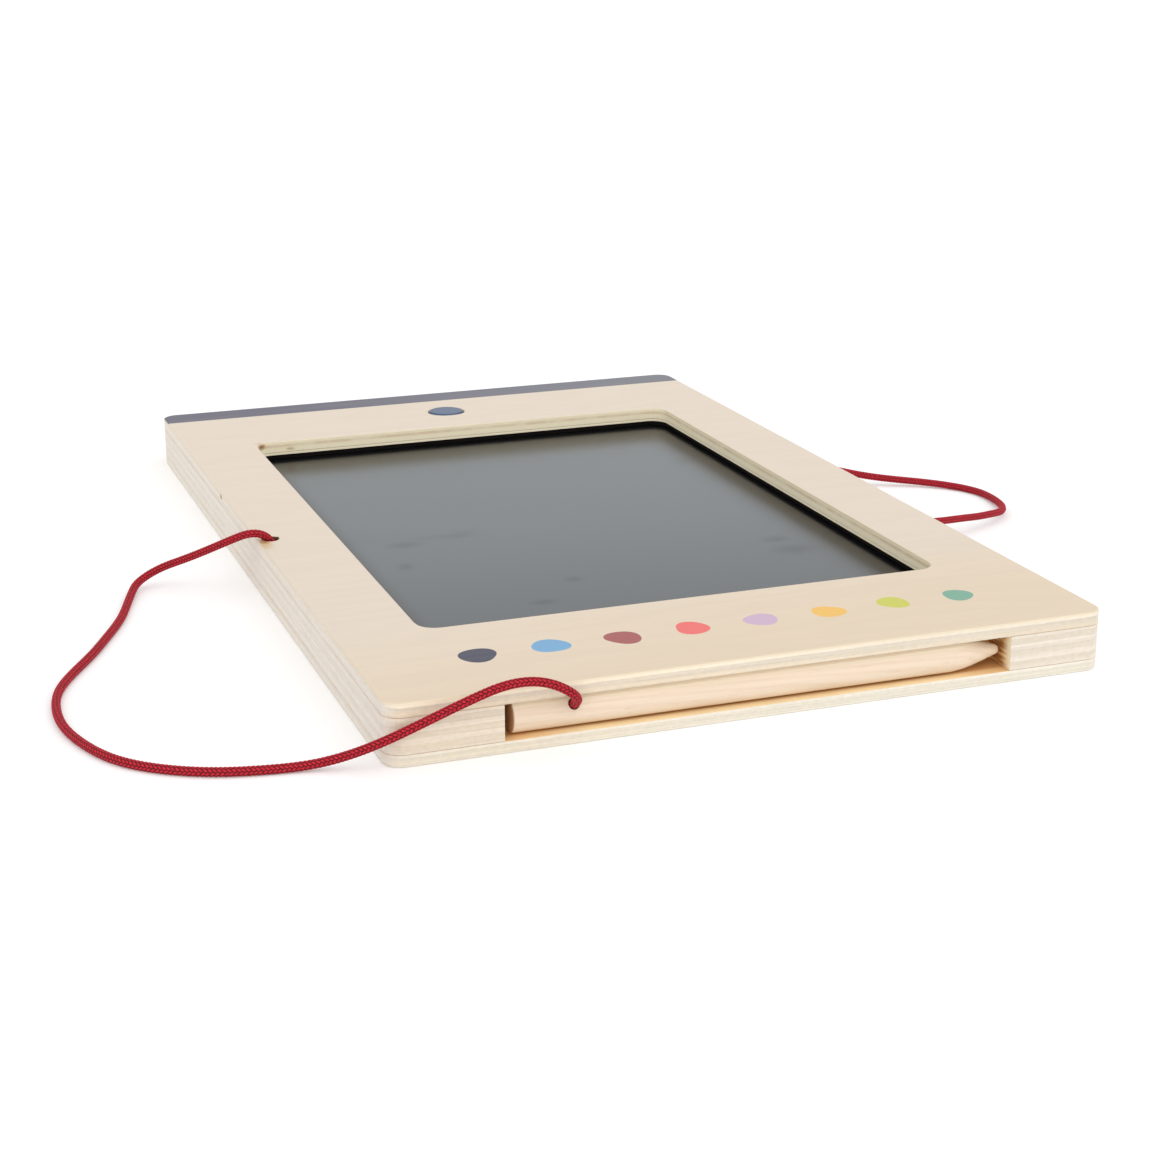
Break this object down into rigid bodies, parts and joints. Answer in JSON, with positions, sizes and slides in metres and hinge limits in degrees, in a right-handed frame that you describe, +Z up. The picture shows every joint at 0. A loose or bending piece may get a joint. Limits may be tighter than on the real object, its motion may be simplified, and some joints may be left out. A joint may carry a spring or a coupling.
{
  "type": "lcd writing tablet",
  "caption": "Flat plywood writing tablet with a framed erasable panel, an erase button, a corded wooden stylus in a front slot, and a cord loop on one side.",
  "frame": {"origin": "on the table, under the centre of the plywood body", "axes": "+Z up out of the writing panel, +Y along the body towards the erase button, +X to the side with the cord loop; the stylus slot opens towards -Y"},
  "size_m": [0.2743, 0.2655, 0.0176],
  "materials": {
    "plywood": "sanded pale birch plywood, clear matt lacquer",
    "plywood_core": "plywood with its glued layers showing on the cut edges",
    "pale_wood": "turned pale wood, sanded, no lacquer",
    "panel_film": "dark glossy liquid-crystal writing film with faint smears",
    "black_foam": "thin black foam gasket",
    "black_plastic": "moulded black plastic, fine matt texture",
    "white_plastic": "natural white moulded plastic",
    "blue_plastic": "moulded blue plastic, satin",
    "green_board": "green solder mask on a fibreglass board",
    "amber_film": "amber flexible printed film",
    "steel": "nickel-plated steel",
    "brass": "spring brass",
    "red_braid": "braided red cotton cord"
  },
  "bodies": {
    "tablet": {"top_plate": "plywood", "middle_frame": "plywood_core", "bottom_plate": "plywood", "writing_panel": "panel_film", "panel_bezel": "black_foam", "panel_tray": "black_plastic", "switch_body": "black_plastic", "switch_cover": "steel", "switch_dome": "steel", "circuit_board": "green_board", "board_pad": "black_foam", "board_screw_front": "steel", "board_screw_back": "steel", "controller_chip": "black_plastic", "ribbon_connector": "white_plastic", "panel_ribbon": "amber_film", "battery_box": "black_plastic", "positive_contact": "brass", "negative_contact": "brass", "battery_wire_positive": "red_braid", "battery_wire_negative": "black_plastic", "coin_cell": "steel", "screw_insert": "brass", "stylus_cord": "red_braid", "stylus_cord_knot": "red_braid", "carry_loop": "red_braid", "carry_loop_knot_front": "red_braid", "carry_loop_knot_back": "red_braid"},
    "button": {"erase_button": "blue_plastic", "switch_plunger": "black_plastic"},
    "stylus": {"stylus": "pale_wood"},
    "cover": {"battery_cover": "black_plastic"},
    "screw": {"cover_screw": "steel"}
  },
  "joints": [
    {"name": "button_press", "type": "slide", "parent": "tablet", "child": "button", "axis": [0, 0, -1], "range_m": [0, 0.0005], "stiffness_N_per_m": 1500, "deforming": ["switch_dome"]},
    {"name": "stylus_out", "type": "slide", "parent": "tablet", "child": "stylus", "axis": [0, -1, 0], "range_m": [0, 0.03], "deforming": ["stylus_cord"]},
    {"name": "cover_off", "type": "slide", "parent": "tablet", "child": "cover", "axis": [0, 0, -1], "range_m": [0, 0.01]},
    {"name": "screw_turn", "type": "hinge", "parent": "cover", "child": "screw", "pos_m": [-0.018, 0.109, 0], "axis": [0, 0, -1], "range_deg": [0, 1440]}
  ]
}
